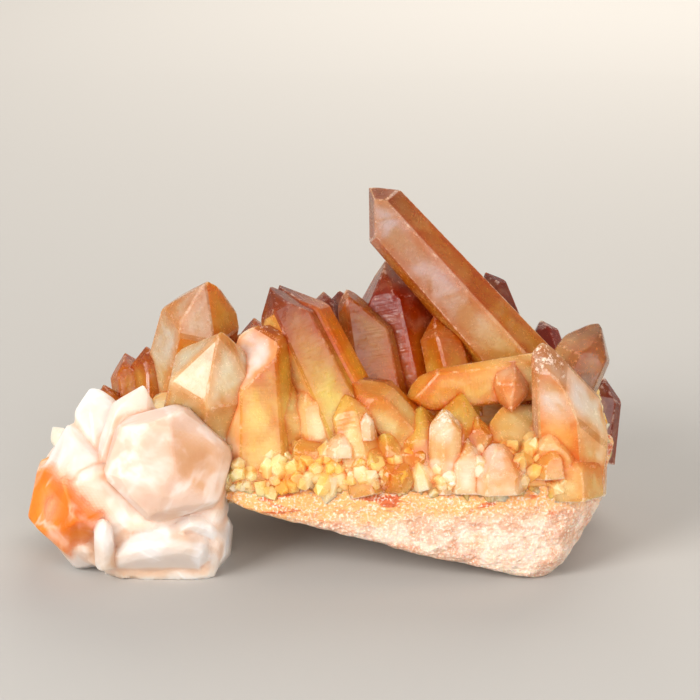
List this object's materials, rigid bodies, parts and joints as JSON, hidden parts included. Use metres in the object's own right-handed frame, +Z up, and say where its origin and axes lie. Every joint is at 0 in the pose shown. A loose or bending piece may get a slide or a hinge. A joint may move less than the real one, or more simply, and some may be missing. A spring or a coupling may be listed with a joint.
{
  "type": "tangerine quartz cluster",
  "caption": "Cluster of iron-stained orange quartz points grown together on a broken slab of granular massive quartz, with a milky lobe at one end.",
  "frame": {"origin": "under the middle of the cluster's bounding box, on the surface that it rests on", "axes": "+X along the cluster's length, from the milky lobe to the clear point, +Y from the front with the ledge to the back, +Z up"},
  "size_m": [0.1223, 0.0748, 0.0712],
  "materials": {
    "tangerine_quartz": "clear to milky orange quartz, glassy faces with an iron-oxide skin",
    "massive_quartz": "granular cream quartz, matt broken faces"
  },
  "bodies": {
    "root": {"crystals": "tangerine_quartz", "matrix": "massive_quartz"}
  },
  "joints": []
}
